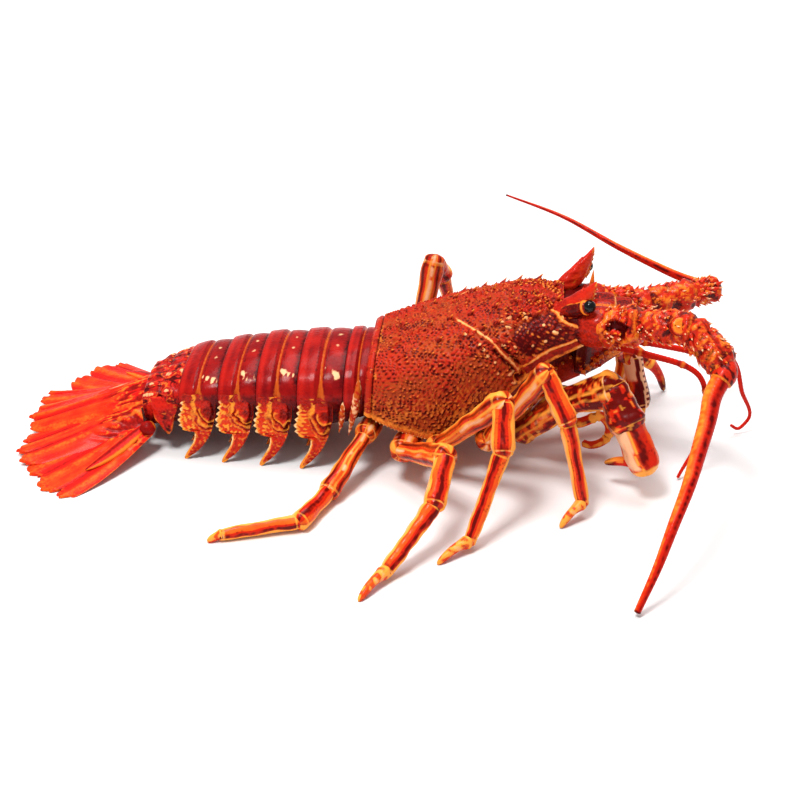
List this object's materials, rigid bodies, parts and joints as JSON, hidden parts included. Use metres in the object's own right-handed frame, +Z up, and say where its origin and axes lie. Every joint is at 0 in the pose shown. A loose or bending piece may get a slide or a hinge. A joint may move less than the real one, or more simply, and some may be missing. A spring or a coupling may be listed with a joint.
{
  "type": "cooked lobster",
  "caption": "Whole cooked spiny lobster standing on its legs: thorny back shell, plated tail with a fan, bent walking legs, thick thorny antennae with long whips.",
  "frame": {"origin": "on the table, under the middle of the whole animal's bounding box", "axes": "+X along the body towards the head, +Y to the animal's left, +Z up"},
  "size_m": [0.3694, 0.238, 0.0999],
  "materials": {
    "carapace_brown": "boiled shell, orange brown, bumpy and half matt",
    "tail_dark_red": "boiled shell, dark red and glossy",
    "fan_orange": "thin leathery shell, orange red",
    "leg_orange": "boiled shell, orange with darker stripes, glossy",
    "stalk_red": "boiled shell, dark red, thorny",
    "whip_orange": "ringed horny shell, orange red",
    "eye_black": "black and wet-looking"
  },
  "bodies": {
    "root": {"carapace": "carapace_brown", "thorax_underside": "stalk_red", "head_front": "stalk_red", "tail_segment_1": "tail_dark_red", "tail_segment_2": "tail_dark_red", "tail_segment_3": "tail_dark_red", "tail_segment_4": "tail_dark_red", "tail_segment_5": "tail_dark_red", "tail_segment_6": "tail_dark_red", "swimmeret_2_right": "stalk_red", "swimmeret_2_left": "stalk_red", "swimmeret_3_right": "stalk_red", "swimmeret_3_left": "stalk_red", "swimmeret_4_right": "stalk_red", "swimmeret_4_left": "stalk_red", "swimmeret_5_right": "stalk_red", "swimmeret_5_left": "stalk_red", "telson": "fan_orange", "uropod_inner_right": "fan_orange", "uropod_inner_left": "fan_orange", "uropod_outer_right": "fan_orange", "uropod_outer_left": "fan_orange", "leg_1_right": "leg_orange", "leg_1_left": "leg_orange", "leg_2_right": "leg_orange", "leg_2_left": "leg_orange", "leg_3_right": "leg_orange", "leg_3_left": "leg_orange", "leg_4_right": "leg_orange", "leg_4_left": "leg_orange", "leg_5_right": "leg_orange", "leg_5_left": "leg_orange", "antenna_stalk_right": "stalk_red", "antenna_whip_right": "whip_orange", "feeler_right": "whip_orange", "eye_right": "eye_black", "mouthpart_right": "leg_orange", "antenna_stalk_left": "stalk_red", "antenna_whip_left": "whip_orange", "feeler_left": "whip_orange", "eye_left": "eye_black", "mouthpart_left": "leg_orange"}
  },
  "joints": []
}
